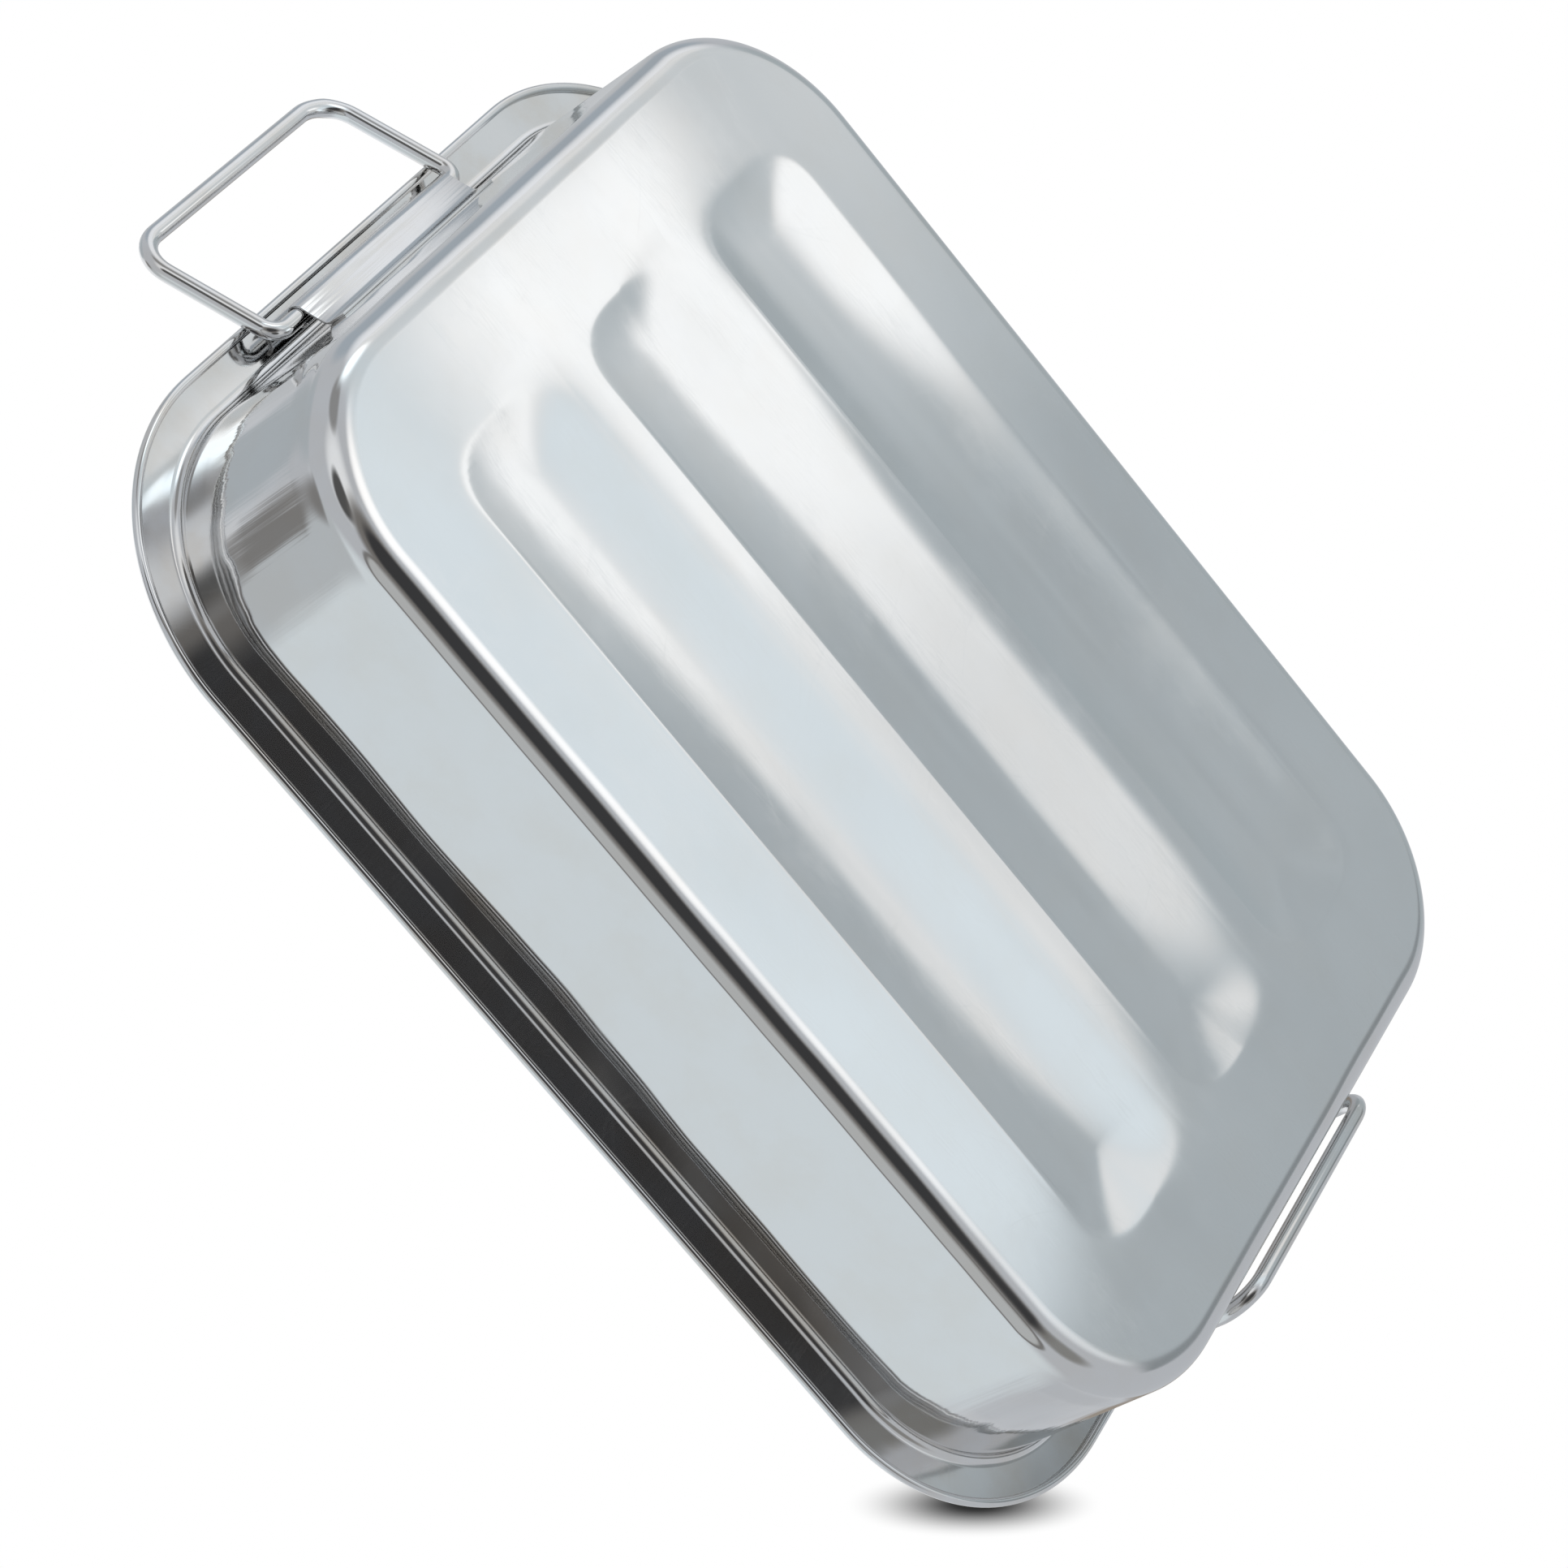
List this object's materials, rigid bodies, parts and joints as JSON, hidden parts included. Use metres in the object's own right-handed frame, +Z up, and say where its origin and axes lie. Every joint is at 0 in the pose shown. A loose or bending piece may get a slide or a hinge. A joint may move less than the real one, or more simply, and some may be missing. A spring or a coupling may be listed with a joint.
{
  "type": "roasting pan",
  "caption": "Deep rectangular steel roasting pan with rounded corners, pressed base grooves, a flat rolled rim and a fold-down wire handle hinged in a curled bracket on each end.",
  "frame": {"origin": "under the middle of the base, on the plane that the base stands on", "axes": "+X along the length towards the end whose handle is raised, +Y across, +Z up out of the open top"},
  "size_m": [0.4119, 0.286, 0.0783],
  "materials": {
    "pan_steel": "bright drawn stainless sheet, satin base with fine streaks, near-mirror walls and rim",
    "bracket_steel": "smooth bright stainless strip with bare cut edges",
    "handle_wire": "polished stainless wire with a faint heat tint near its weld"
  },
  "bodies": {
    "pan": {"pan_body": "pan_steel", "right_bracket": "bracket_steel", "left_bracket": "bracket_steel"},
    "right_handle": {"right_handle": "handle_wire"},
    "left_handle": {"left_handle": "handle_wire"}
  },
  "joints": [
    {"name": "right_handle_hinge", "type": "hinge", "parent": "pan", "child": "right_handle", "pos_m": [0.18108, -0.0052, 0.0548], "axis": [0, -1, 0], "range_deg": [-124, 0]},
    {"name": "left_handle_hinge", "type": "hinge", "parent": "pan", "child": "left_handle", "pos_m": [-0.18108, -0.0052, 0.0548], "axis": [0, 1, 0], "range_deg": [-4, 119.5]}
  ]
}
